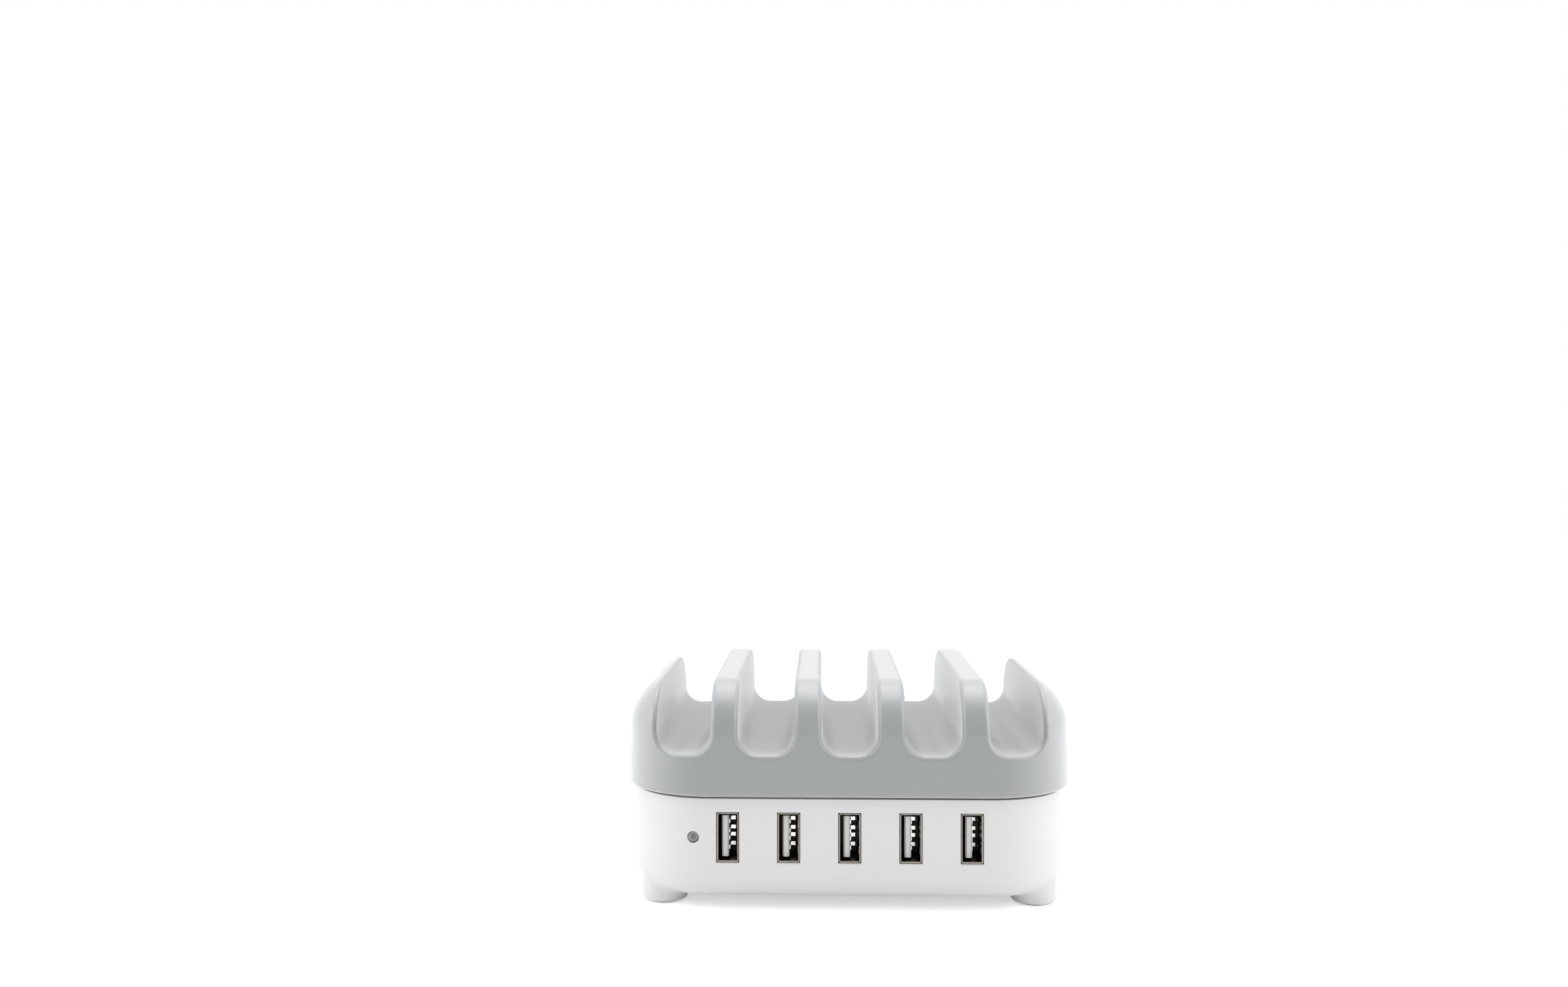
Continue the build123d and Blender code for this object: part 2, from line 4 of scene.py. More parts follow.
import bpy
import numpy as np
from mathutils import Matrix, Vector


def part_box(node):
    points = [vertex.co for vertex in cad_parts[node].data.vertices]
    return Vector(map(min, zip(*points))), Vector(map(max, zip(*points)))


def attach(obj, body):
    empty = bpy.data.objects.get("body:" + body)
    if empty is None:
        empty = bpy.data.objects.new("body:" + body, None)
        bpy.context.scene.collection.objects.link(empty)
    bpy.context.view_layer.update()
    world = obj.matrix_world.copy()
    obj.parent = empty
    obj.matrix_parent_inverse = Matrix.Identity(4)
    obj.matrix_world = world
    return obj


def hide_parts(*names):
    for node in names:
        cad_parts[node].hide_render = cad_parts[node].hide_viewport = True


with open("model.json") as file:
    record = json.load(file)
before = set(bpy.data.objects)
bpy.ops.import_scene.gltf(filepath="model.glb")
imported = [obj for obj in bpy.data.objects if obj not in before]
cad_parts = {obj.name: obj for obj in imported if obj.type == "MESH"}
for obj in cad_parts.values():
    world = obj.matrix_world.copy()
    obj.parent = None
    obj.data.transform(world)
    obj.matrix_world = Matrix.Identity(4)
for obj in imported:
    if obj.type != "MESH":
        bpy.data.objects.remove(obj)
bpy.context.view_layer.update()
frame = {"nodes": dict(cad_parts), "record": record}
nodes = frame["nodes"]
print("frame loaded,", len(nodes), "nodes")


# Places read from the frame, in mm
millimetre = 0.001
micronDigits = 3  # decimals kept of a size in mm
wide, deep, up = range(3)  # axes


def nodeBox(name):
    # Lowest and highest corner of a node, as two rows.
    return np.round(np.array(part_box(name)) / millimetre, micronDigits)


coverLow, coverHigh = nodeBox("top_cover")
baseLow, baseHigh = nodeBox("base_housing")
rimOverlap = 4.0  # base wall that stands up inside the cover
seam = round(baseHigh[up] - rimOverlap, micronDigits)

lampLow, lampHigh = nodeBox("status_lamp")
lampFront = (lampLow + lampHigh) / 2
lampFront[deep] = lampLow[deep]
lensRadius = 1.5  # of the part of the lamp that shows

portCount = sum(name.startswith("usb_shell_") for name in nodes)
portEnds = [nodeBox(f"usb_shell_{number}").mean(axis=0) for number in (1, portCount)]
portPlaces = np.linspace(*portEnds, portCount)
contactLow, contactHigh = nodeBox("usb_contacts_1")
mouthHalf = np.ptp(nodeBox("usb_insulator_1")[:, wide]) / 2  # the insulator fills the shell's mouth


# Node helpers
white = (1.0, 1.0, 1.0, 1.0)
colourA, colourB, colourOut = 6, 7, 2  # sockets of a Mix node that mixes colours


def opaque(tone):
    return (*tone, 1.0)


def addNode(tree, kind, **values):
    node = tree.nodes.new(kind)
    for name, value in values.items():
        setattr(node, name, value)
    return node


def join(tree, source, socket):
    # Links an output, or sets a plain value, on one input socket.
    if isinstance(source, bpy.types.NodeSocket):
        tree.links.new(source, socket)
    else:
        socket.default_value = source


def feed(tree, target, **links):
    # The same for each named input socket, with _ for a space.
    for name, source in links.items():
        join(tree, source, target.inputs[name.replace("_", " ")])


def objectPlace(tree):
    return addNode(tree, "ShaderNodeTexCoord").outputs["Object"]


def vectorMath(tree, operation, *sources):
    sums = addNode(tree, "ShaderNodeVectorMath", operation=operation)
    for source, socket in zip(sources, sums.inputs):
        join(tree, source, socket)
    return sums.outputs["Value" if operation == "LENGTH" else "Vector"]


def mixColours(tree, share, first, second, blend="MIX"):
    mix = addNode(tree, "ShaderNodeMix", data_type="RGBA", blend_type=blend)
    join(tree, share, mix.inputs["Factor"])
    join(tree, first, mix.inputs[colourA])
    join(tree, second, mix.inputs[colourB])
    return mix.outputs[colourOut]


# Shared effects: noise on Object coordinates, sizes in cells per metre, all put out 0 to 1
sharpNoise = {"Detail": 3.0, "Roughness": 0.6}
softNoise = {"Detail": 2.0, "Roughness": 0.5}
stainCells = 260.0


def addNoise(tree, place, cells, kind):
    noise = addNode(tree, "ShaderNodeTexNoise", noise_dimensions="3D")
    feed(tree, noise, Vector=place, Scale=cells, **kind)
    return noise.outputs["Fac"]


def newGroup(name, inputs, outputs):
    group = bpy.data.node_groups.new(name, "ShaderNodeTree")
    for direction, labels in (("INPUT", inputs), ("OUTPUT", outputs)):
        for label in labels:
            group.interface.new_socket(label, in_out=direction, socket_type="NodeSocketFloat")
    return group, group.nodes.new("NodeGroupInput"), group.nodes.new("NodeGroupOutput")


def mouldSkinGroup():
    # Fine spark-eroded grain and a slow drift.
    group, source, sink = newGroup("mouldSkin", ["Fine", "Slow"], ["Grain", "Drift"])
    place = objectPlace(group)
    grain = addNoise(group, place, source.outputs["Fine"], sharpNoise)
    drift = addNoise(group, place, source.outputs["Slow"], softNoise)
    feed(group, sink, Grain=grain, Drift=drift)
    return group


def rolledMetalGroup():
    # Lines drawn out along the depth, and stains.
    group, source, sink = newGroup("rolledMetal", ["Fine", "Stretch"], ["Lines", "Stain"])
    place = objectPlace(group)
    squeeze = addNode(group, "ShaderNodeCombineXYZ")
    feed(group, squeeze, X=1.0, Y=source.outputs["Stretch"], Z=1.0)
    drawn = vectorMath(group, "MULTIPLY", place, squeeze.outputs["Vector"])
    lines = addNoise(group, drawn, source.outputs["Fine"], softNoise)
    stain = addNoise(group, place, stainCells, sharpNoise)
    feed(group, sink, Lines=lines, Stain=stain)
    return group


mouldSkin = mouldSkinGroup()
rolledMetal = rolledMetalGroup()


def paintShadeAlong(tree, colour, paintedShade):
    # Painted shade: from the given colour at one place along an axis to the shade's tone at a second place,
    # both in mm.
    split = addNode(tree, "ShaderNodeSeparateXYZ")
    feed(tree, split, Vector=objectPlace(tree))
    share = addNode(tree, "ShaderNodeMapRange")
    start, end = (edge * millimetre for edge in paintedShade["span"])
    feed(tree, share, Value=split.outputs[paintedShade["axis"]], From_Min=start, From_Max=end)
    return mixColours(tree, share.outputs["Result"], colour, opaque(paintedShade["tone"]))


def paintRingsOfShadeAndHighlight(tree, colour, rings):
    # Painted highlight and painted shade in rings: greys by the distance from an axis along the depth, times
    # the given colour.
    acrossAndUp = (1.0, 0.0, 1.0)
    away = vectorMath(tree, "SUBTRACT", objectPlace(tree), [part * millimetre for part in rings["centre"]])
    reach = vectorMath(tree, "LENGTH", vectorMath(tree, "MULTIPLY", away, acrossAndUp))
    share = addNode(tree, "ShaderNodeMapRange")
    feed(tree, share, Value=reach, From_Max=rings["radius"] * millimetre)
    ramp = addNode(tree, "ShaderNodeValToRGB")
    feed(tree, ramp, Fac=share.outputs["Result"])
    stops = ramp.color_ramp.elements  # it starts with one stop at 0 and one at 1
    for position, _ in rings["greys"][1:-1]:
        stops.new(position)
    for stop, (_, grey) in zip(stops, rings["greys"]):
        stop.color = opaque((grey, grey, grey * rings["blue"]))
    return mixColours(tree, 1.0, ramp.outputs["Color"], colour, "MULTIPLY")


# What a finish has where its own settings don't say, and the shader sockets that take plain values
plainLook = {
    "metal": 0.0, "ior": 1.46, "coat": 0.0, "coatRough": 0.03, "sheen": 0.0, "sheenRough": 0.5,
    "bumpStrength": 0.5, "noiseSpan": (0.3, 0.7),
}
plainSockets = {
    "Metallic": "metal", "IOR": "ior", "Coat Weight": "coat", "Coat Roughness": "coatRough",
    "Sheen Weight": "sheen", "Sheen Roughness": "sheenRough",
}


def makeFinish(name, ownLook):
    # Two near tones mixed by the slow mask, roughness and bump from the fine one.
    look = {**plainLook, **ownLook}
    finish = bpy.data.materials.new(name)
    finish.use_nodes = True
    tree = finish.node_tree
    shader = tree.nodes["Principled BSDF"]
    effect = addNode(tree, "ShaderNodeGroup", node_tree=look["effect"])
    feed(tree, effect, **look["effectSizes"])
    fine, slow = effect.outputs
    colour = mixColours(tree, slow, opaque(look["tone"]), opaque(look["toneDeep"]))
    # Painted shade along an axis, where the finish asks for it
    if "paintedShade" in look:
        colour = paintShadeAlong(tree, colour, look["paintedShade"])
    # Painted highlight ring and painted shade by the distance from the lamp's axis, where the finish asks for
    # them
    if "rings" in look:
        colour = paintRingsOfShadeAndHighlight(tree, colour, look["rings"])
    rough = addNode(tree, "ShaderNodeMapRange")
    low, high = look["noiseSpan"]
    smoothest, roughest = look["rough"]
    feed(tree, rough, Value=fine, From_Min=low, From_Max=high, To_Min=smoothest, To_Max=roughest)
    bump = addNode(tree, "ShaderNodeBump")
    feed(tree, bump, Height=fine, Distance=look["bump"] * millimetre, Strength=look["bumpStrength"])
    feed(tree, shader, Base_Color=colour, Roughness=rough.outputs["Result"], Normal=bump.outputs["Normal"])
    for socket, key in plainSockets.items():
        shader.inputs[socket].default_value = look[key]
    return finish


def moulded(fine, slow):
    return {"effect": mouldSkin, "effectSizes": {"Fine": fine, "Slow": slow}}


def rolled(fine, stretch):
    return {"effect": rolledMetal, "effectSizes": {"Fine": fine, "Stretch": stretch}, "metal": 1.0}


# Finishes by record slot: two tones, the span of roughness, the bump's depth in mm, the effect
plainMoulding = moulded(fine=2600.0, slow=45.0)
plainSheet = rolled(fine=2500.0, stretch=0.08)
finishes = {
    "cover_grey": {
        "tone": (0.256, 0.271, 0.279), "toneDeep": (0.236, 0.251, 0.259), "rough": (0.30, 0.46),
        "bump": 0.16, **moulded(fine=2600.0, slow=40.0),
        "sheen": 1.0, "sheenRough": 0.55, "ior": 1.7, "coat": 0.9, "coatRough": 0.36,
    },
    # Painted shade: a dark band on the wall just under the groove below the cover
    "base_white": {
        "tone": (0.79, 0.783, 0.786), "toneDeep": (0.77, 0.763, 0.766), "rough": (0.46, 0.56), "ior": 1.4,
        "bump": 0.008, **moulded(fine=1800.0, slow=35.0),
        "paintedShade": {"axis": "Z", "span": (30.66, 30.88), "tone": (0.42, 0.415, 0.41)},
    },
    "pad_rubber": {
        "tone": (0.055, 0.055, 0.056), "toneDeep": (0.04, 0.04, 0.041), "rough": (0.7, 0.85),
        "bump": 0.04, **moulded(fine=3000.0, slow=180.0),
    },
    # Painted shade: the socket's metal darkens from the mouth inwards
    "socket_steel": {
        "tone": (0.36, 0.33, 0.29), "toneDeep": (0.20, 0.18, 0.155), "rough": (0.22, 0.38),
        "bump": 0.006, **plainSheet,
        "paintedShade": {"axis": "Y", "span": (-46.3, -44.8), "tone": (0.045, 0.043, 0.04)},
    },
    # Painted shade: the insulator darkens from the tongue's tip inwards
    "socket_white": {
        "tone": (0.86, 0.855, 0.835), "toneDeep": (0.78, 0.775, 0.755), "rough": (0.40, 0.5),
        "bump": 0.01, **moulded(fine=3500.0, slow=220.0),
        "paintedShade": {"axis": "Y", "span": (-44.3, -40.5), "tone": (0.02, 0.02, 0.019)},
    },
    "contact_metal": {
        "tone": (0.96, 0.95, 0.92), "toneDeep": (0.84, 0.82, 0.78), "rough": (0.22, 0.36),
        "bump": 0.004, **plainSheet,
    },
    # A dark lens with a painted highlight ring and painted shade towards its rim: greys by the share of the
    # radius
    "lamp_lens": {
        "tone": (1.0, 1.0, 1.0), "toneDeep": (0.86, 0.86, 0.85), "rough": (0.22, 0.34), "coat": 0.3,
        "bump": 0.004, **moulded(fine=2600.0, slow=900.0),
        "rings": {
            "centre": lampFront, "radius": lensRadius, "blue": 0.98,
            "greys": ((0.0, 0.16), (0.48, 0.17), (0.62, 0.33), (0.84, 0.35), (0.93, 0.18), (1.0, 0.14)),
        },
    },
    "screw_steel": {
        "tone": (0.56, 0.56, 0.57), "toneDeep": (0.48, 0.48, 0.49), "rough": (0.28, 0.42),
        "bump": 0.006, **plainSheet,
    },
    "tinned_lead": {
        "tone": (0.68, 0.68, 0.67), "toneDeep": (0.60, 0.60, 0.59), "rough": (0.25, 0.38),
        "bump": 0.004, **plainSheet,
    },
    "board_green": {
        "tone": (0.035, 0.16, 0.075), "toneDeep": (0.025, 0.13, 0.06), "rough": (0.30, 0.42),
        "bump": 0.01, **moulded(fine=1500.0, slow=120.0),
    },
    "inlet_black": {
        "tone": (0.028, 0.028, 0.029), "toneDeep": (0.02, 0.02, 0.021), "rough": (0.38, 0.5),
        "bump": 0.015, **plainMoulding,
    },
    "component_black": {
        "tone": (0.03, 0.03, 0.03), "toneDeep": (0.022, 0.022, 0.023), "rough": (0.5, 0.65),
        "bump": 0.02, **plainMoulding,
    },
    "film_yellow": {
        "tone": (0.62, 0.44, 0.06), "toneDeep": (0.55, 0.39, 0.05), "rough": (0.38, 0.5),
        "bump": 0.012, **plainMoulding,
    },
    "can_sleeve": {
        "tone": (0.03, 0.04, 0.075), "toneDeep": (0.022, 0.03, 0.06), "rough": (0.28, 0.4),
        "bump": 0.008, **plainMoulding,
    },
    "ferrite": {
        "tone": (0.06, 0.06, 0.062), "toneDeep": (0.04, 0.04, 0.042), "rough": (0.55, 0.72),
        "bump": 0.05, **moulded(fine=1600.0, slow=200.0),
    },
    "winding": {
        "tone": (0.55, 0.21, 0.08), "toneDeep": (0.42, 0.15, 0.055), "rough": (0.25, 0.4),
        "bump": 0.08, **rolled(fine=1800.0, stretch=0.02),
    },
    "winding_tape": {
        "tone": (0.66, 0.48, 0.07), "toneDeep": (0.58, 0.42, 0.06), "rough": (0.3, 0.42),
        "bump": 0.015, **plainMoulding,
    },
    "sink_aluminium": {
        "tone": (0.66, 0.66, 0.67), "toneDeep": (0.58, 0.58, 0.59), "rough": (0.3, 0.45),
        "bump": 0.01, **plainSheet,
    },
}
materials = {slot: makeFinish(slot, look) for slot, look in finishes.items()}
for row in frame["record"]["subparts"]:
    mesh = nodes[row["node"]].data
    mesh.materials.clear()
    mesh.materials.append(materials[row["material_slot"]])
print("finishes on,", len(materials), "slots")


# Surface of a solid given by its signed distance, on a stretched grid, sizes in mm
nearlyZero = 1e-9  # keeps divisions off zero
settling = {"rounds": 6, "leastSlope": 0.05}  # how vertices are moved onto the surface


def stretchedLines(low, high, features, finest, growth, coarsest, ruler=0.01):
    # Steps grow with the distance to the nearest feature: step = clip(finest + growth * distance).
    fineScale = np.linspace(low, high, int((high - low) / ruler) + 1)
    nearest = np.min(np.abs(fineScale[:, None] - np.asarray(features)[None, :]), axis=1)
    step = np.clip(finest + growth * nearest, finest, coarsest)
    count = np.concatenate([[0.0], np.cumsum(ruler / step[1:])])
    return np.interp(np.linspace(0.0, count[-1], int(math.ceil(count[-1])) + 1), count, fineScale)


def slopeOf(distance, points, reach=0.002):
    # Central differences of the distance along each axis.
    parts = []
    for axis in range(3):
        shift = np.zeros(3)
        shift[axis] = reach
        parts.append((distance(*(points + shift).T) - distance(*(points - shift).T)) / (2.0 * reach))
    return np.stack(parts, 1)


def unitSlope(distance, points):
    slope = slopeOf(distance, points)
    return slope / np.maximum(np.linalg.norm(slope, axis=1), nearlyZero)[:, None]


def cellCrossings(field, inside, lines):
    # Numbers the cells that the zero surface crosses, with the mean of the crossings on each cell's edges.
    nx, ny, nz = (len(line) - 1 for line in lines)
    corners = list(np.ndindex(2, 2, 2))
    filled = sum(inside[a:a + nx, b:b + ny, c:c + nz].astype(int) for a, b, c in corners)
    crossed = (filled > 0) & (filled < len(corners))
    cells = np.argwhere(crossed)
    number = np.full(crossed.shape, -1)
    number[crossed] = np.arange(len(cells))
    total = np.zeros((len(cells), 3))
    hits = np.zeros(len(cells))
    for axis in range(3):
        across = [other for other in range(3) if other != axis]
        for shift in np.ndindex(2, 2):
            start = cells.copy()
            start[:, across] += shift
            end = start.copy()
            end[:, axis] += 1
            fieldStart = field[tuple(start.T)]
            fieldEnd = field[tuple(end.T)]
            hit = (fieldStart < 0.0) != (fieldEnd < 0.0)
            share = np.where(hit, fieldStart / np.where(hit, fieldStart - fieldEnd, 1.0), 0.0)
            pointStart = np.stack([line[place] for line, place in zip(lines, start.T)], 1)
            pointEnd = np.stack([line[place] for line, place in zip(lines, end.T)], 1)
            total += hit[:, None] * (pointStart + share[:, None] * (pointEnd - pointStart))
            hits += hit
    return number, total / hits[:, None]


def crossedQuads(inside, lines, number):
    # One quad round each grid edge that the surface crosses, facing out of the solid.
    quads = []
    for axis in range(3):
        second, third = (axis + 1) % 3, (axis + 2) % 3
        low = [slice(None)] * 3
        high = [slice(None)] * 3
        low[axis], high[axis] = slice(None, -1), slice(1, None)
        leaving = inside[tuple(low)] & ~inside[tuple(high)]
        entering = ~inside[tuple(low)] & inside[tuple(high)]
        for turned, flags in ((False, leaving), (True, entering)):
            at = np.argwhere(flags)
            for other in (second, third):
                at = at[(at[:, other] > 0) & (at[:, other] < len(lines[other]) - 1)]
            ring = []
            for back, down in ((1, 1), (0, 1), (0, 0), (1, 0)):
                cell = at.copy()
                cell[:, second] -= back
                cell[:, third] -= down
                ring.append(number[tuple(cell.T)])
            quads.append(np.stack(ring[::-1] if turned else ring, 1))
    return np.concatenate(quads)


def skinOfSolid(distance, xs, ys, zs):
    # One vertex per crossed cell, moved onto the surface along the gradient, and quads between them.
    lines = (xs, ys, zs)
    field = distance(xs[:, None, None], ys[None, :, None], zs[None, None, :])
    inside = field < 0.0
    number, points = cellCrossings(field, inside, lines)
    for _ in range(settling["rounds"]):
        slope = slopeOf(distance, points)
        size = np.maximum((slope ** 2).sum(1), settling["leastSlope"])
        points = points - (distance(*points.T) / size)[:, None] * slope
    return points, crossedQuads(inside, lines, number), unitSlope(distance, points)


def addPiece(name, mesh, slot, replaced=()):
    # Every piece rides on the one body and takes its finish from a record slot.
    mesh.materials.append(materials[slot])
    piece = bpy.data.objects.new(name, mesh)
    bpy.context.scene.collection.objects.link(piece)
    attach(piece, "root")
    if replaced:
        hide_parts(*replaced)


def skinMesh(name, points, quads, normals):
    mesh = bpy.data.meshes.new(name)
    mesh.vertices.add(len(points))
    mesh.vertices.foreach_set("co", (points * millimetre).astype(np.float32).ravel())
    mesh.loops.add(quads.size)
    mesh.loops.foreach_set("vertex_index", quads.astype(np.int32).ravel())
    mesh.polygons.add(len(quads))
    mesh.polygons.foreach_set("loop_start", np.arange(0, quads.size, quads.shape[1], dtype=np.int32))
    mesh.update(calc_edges=True)
    mesh.validate()
    mesh.shade_smooth()
    mesh.normals_split_custom_set_from_vertices(normals.astype(np.float32))
    return mesh


def roundedMeet(a, b, radius):
    # Inside both distances, with the edge between them rounded.
    corner = np.hypot(np.maximum(a + radius, 0.0), np.maximum(b + radius, 0.0))
    return np.minimum(np.maximum(a, b), -radius) + corner


def roundedSquare(a, b, radius):
    # Two distances from an inner core, grown by a radius.
    return np.hypot(np.maximum(a, 0.0), np.maximum(b, 0.0)) + np.minimum(np.maximum(a, b), 0.0) - radius


# Cover: a loaf with slots through it and softly rounded lips, sizes in mm
cover = {
    "width": coverHigh[wide] - coverLow[wide], "depth": coverHigh[deep] - coverLow[deep],
    "seam": seam, "top": coverHigh[up], "corner": 24.5, "shoulder": 14.4, "draft": 0.028,
    "slots": 5, "slotPitch": 22.65, "slotWidth": 15.2, "slotFloor": 42.9, "floorRound": 5.5,
    "lip": 1.5, "rim": 0.8, "wall": 2.0, "roof": 40.7,
    # Grid: room round the solid, then the finest step, its growth and the coarsest step on each axis
    "margin": 1.0, "stepsX": (0.32, 0.16, 1.4), "stepsY": (0.34, 0.05, 2.4), "stepsZ": (0.28, 0.12, 1.0),
}


def coverDistance(x, y, z):
    # Loaf: plan rounded by corner, walls leaning in by draft, shoulder rolled over; slots are U troughs.
    plan = roundedSquare(
        np.abs(x) - (cover["width"] / 2 - cover["corner"]),
        np.abs(y) - (cover["depth"] / 2 - cover["corner"]), cover["corner"])
    wall = plan + cover["draft"] * (z - cover["seam"])
    loaf = roundedSquare(wall + cover["shoulder"], z - (cover["top"] - cover["shoulder"]), cover["shoulder"])
    reach = (cover["slots"] - 1) / 2
    centre = np.clip(np.round(x / cover["slotPitch"]), -reach, reach) * cover["slotPitch"]
    trough = roundedSquare(
        np.abs(x - centre) - (cover["slotWidth"] / 2 - cover["floorRound"]),
        cover["slotFloor"] + cover["floorRound"] - z, cover["floorRound"])
    body = roundedMeet(roundedMeet(loaf, -trough, cover["lip"]), cover["seam"] - z, cover["rim"])
    cavity = np.maximum(plan + cover["wall"], z - cover["roof"])
    return np.maximum(body, -cavity)


def makeCover():
    # The grid is finest at the slots' walls and floors, the sides, the ends, the seam and the top.
    bothSides = np.array([-1, 1])
    slots = np.arange(cover["slots"]) - (cover["slots"] - 1) / 2
    walls = (slots * cover["slotPitch"] + bothSides[:, None] * cover["slotWidth"] / 2).ravel()
    sides = bothSides * cover["width"] / 2
    ends = bothSides * cover["depth"] / 2
    levels = [cover["seam"], cover["slotFloor"], cover["top"]]
    lines = []
    for features, span, steps in (([*walls, *sides], sides, "stepsX"), (ends, ends, "stepsY"),
                                  (levels, levels, "stepsZ")):
        low, high = span[0] - cover["margin"], span[-1] + cover["margin"]
        lines.append(stretchedLines(low, high, features, *cover[steps]))
    points, quads, normals = skinOfSolid(coverDistance, *lines)
    addPiece("cover", skinMesh("cover", points, quads, normals), "cover_grey", ["top_cover"])
    print("cover made,", len(quads), "quads")


makeCover()


# Soft blends where the legs run into the base, and round bottom edges, sizes in mm
legs = {
    "angle": 33.0,  # where a leg touches the wall of the base's corner, in degrees from the side
    "radius": 6.3, "bottom": baseLow[up], "edge": 0.7, "bevel": 1.4, "blend": 2.4,
    "baseWidth": baseHigh[wide] - baseLow[wide], "baseDepth": baseHigh[deep] - baseLow[deep],
    "baseCorner": 22.3, "baseFoot": 3.4, "baseRound": 6.0,
    "sink": 0.004, "shown": 0.002, "spread": 0.9, "skin": 0.5, "outer": 0.05,
    "reach": 11.0, "margin": 0.6, "top": 13.2, "step": 0.3,
}
legAngle = math.radians(legs["angle"])
legInset = legs["baseCorner"] - legs["radius"]
coreX = legs["baseWidth"] / 2 - legs["baseCorner"]
coreY = legs["baseDepth"] / 2 - legs["baseCorner"]
legX = round(coreX + legInset * math.cos(legAngle), micronDigits)
legY = round(coreY + legInset * math.sin(legAngle), micronDigits)


def legParts(x, y, z):
    # Base: rounded plan with a rolled lower edge. Leg: an upright cylinder. Both as distances, with the
    # cosine between their outward directions.
    ax, ay = np.abs(x) - coreX, np.abs(y) - coreY
    plan = roundedSquare(ax, ay, legs["baseCorner"])
    roll = legs["baseFoot"] + legs["baseRound"] - z
    base = roundedSquare(plan + legs["baseRound"], roll, legs["baseRound"])
    dx, dy = np.abs(x) - legX, np.abs(y) - legY
    away = np.maximum(np.hypot(dx, dy), nearlyZero)
    ux, uy = np.maximum(ax, 0.0), np.maximum(ay, 0.0)
    outward, downward = np.maximum(plan + legs["baseRound"], 0.0), np.maximum(roll, 0.0)
    lean = outward / np.maximum(np.hypot(outward, downward), nearlyZero)
    cosine = lean * (ux * dx + uy * dy) / np.maximum(np.hypot(ux, uy) * away, nearlyZero)
    return base, away - legs["radius"], legs["bottom"] - z, cosine


def blendedLeg(x, y, z, spread=0.0):
    # Base and leg joined by a hollow fillet that fades out where the two run along each other.
    base, side, under, cosine = legParts(x, y, z)
    fillet = (legs["blend"] + spread) * np.clip(1.0 - cosine, 0.0, 1.0)
    return legs["sink"] - roundedMeet(-base, -roundedMeet(side, under, legs["edge"]), fillet)


def plainLeg(x, y, z, spread=0.0):
    # As the solid has it: no fillet, and a straight bevel round the leg's bottom edge.
    base, side, under, _ = legParts(x, y, z)
    bevel = (side + under + legs["bevel"] + spread) / math.sqrt(2.0)
    return np.minimum(base, np.maximum(np.maximum(side, under), bevel))


def legBlendDistance(x, y, z):
    # What the blend adds to the plain form, a little wider than it shows, down to a skin's depth inside it.
    blended, plain = blendedLeg(x, y, z), plainLeg(x, y, z)
    added = plainLeg(x, y, z, legs["spread"]) - blendedLeg(x, y, z, legs["spread"])
    unadded = legs["shown"] - legs["sink"] - added
    return np.maximum(np.maximum(blended, -plain - legs["skin"]), np.maximum(unadded, z - legs["top"]))


def gridBeside(sign, centre, size):
    # Grid lines past a leg's inner side and past the base's wall, on one side of the middle.
    ends = np.sort(sign * np.array([centre - legs["reach"], size / 2 + legs["margin"]]))
    return np.arange(*ends, legs["step"])


def makeLegBlends():
    zs = np.arange(legs["bottom"] - legs["margin"], legs["top"] + legs["margin"], legs["step"])
    skins, count = [], 0
    for signX, signY in ((-1, -1), (-1, 1), (1, -1), (1, 1)):
        xs = gridBeside(signX, legX, legs["baseWidth"])
        ys = gridBeside(signY, legY, legs["baseDepth"])
        points, quads, normals = skinOfSolid(legBlendDistance, xs, ys, zs)
        outer = np.abs(blendedLeg(*points.T)) < legs["outer"]
        normals[outer] = unitSlope(blendedLeg, points[outer])
        skins.append((points, quads + count, normals))
        count += len(points)
    points, quads, normals = (np.concatenate(part) for part in zip(*skins))
    addPiece("legBlends", skinMesh("legBlends", points, quads, normals), "base_white")
    print("leg blends made,", len(quads), "quads")


makeLegBlends()


# Status lamp: a crowned lens with a flange behind the wall, sizes in mm
lens = {
    "radius": lensRadius, "crown": 0.28, "edge": 0.12, "length": lampHigh[deep] - lampLow[deep],
    "flangeRadius": (lampHigh[up] - lampLow[up]) / 2, "flange": 1.0, "turns": 48, "steps": 10,
}


def turnedMesh(name, profile, at, turns):
    # Profile of (radius, depth) turned about the depth axis: x = r cos a, y = depth, z = r sin a.
    angle = np.linspace(0.0, 2.0 * np.pi, turns, endpoint=False)
    radius, depth = profile.T
    rings = np.stack([
        radius[1:-1, None] * np.cos(angle),
        depth[1:-1, None] + np.zeros(turns),
        radius[1:-1, None] * np.sin(angle)], -1).reshape(-1, 3)
    tips = np.array([[0.0, depth[0], 0.0], [0.0, depth[-1], 0.0]])
    points = (np.concatenate([rings, tips]) + at) * millimetre
    number = np.arange(len(rings)).reshape(-1, turns)
    after = np.roll(number, -1, axis=1)
    sides = np.stack([number[:-1], number[1:], after[1:], after[:-1]], -1).reshape(-1, 4)
    front = np.stack([np.full(turns, len(rings)), number[0], after[0]], -1)
    back = np.stack([np.full(turns, len(rings) + 1), after[-1], number[-1]], -1)
    mesh = bpy.data.meshes.new(name)
    mesh.from_pydata(points.tolist(), [], sides.tolist() + front.tolist() + back.tolist())
    mesh.shade_smooth()
    return mesh


def makeLens():
    # Crown: depth grows with the square of the radius, then a short round edge and a straight side.
    share = np.linspace(0.0, 1.0, lens["steps"])
    reach = lens["radius"] - lens["edge"]
    crown = np.stack([share * reach, lens["crown"] * share ** 2], 1)
    turn = share[1:] * np.pi / 2
    edgeRadius = reach + lens["edge"] * np.sin(turn)
    edgeDepth = lens["crown"] + lens["edge"] * (1.0 - np.cos(turn))
    shoulder = lens["length"] - lens["flange"]
    tail = [(lens["radius"], shoulder), (lens["flangeRadius"], shoulder),
            (lens["flangeRadius"], lens["length"]), (0.0, lens["length"])]
    profile = np.concatenate([crown, np.stack([edgeRadius, edgeDepth], 1), tail])
    mesh = turnedMesh("lampLens", profile, lampFront, lens["turns"])
    addPiece("lampLens", mesh, "lamp_lens", ["status_lamp"])
    print("lens made")


makeLens()


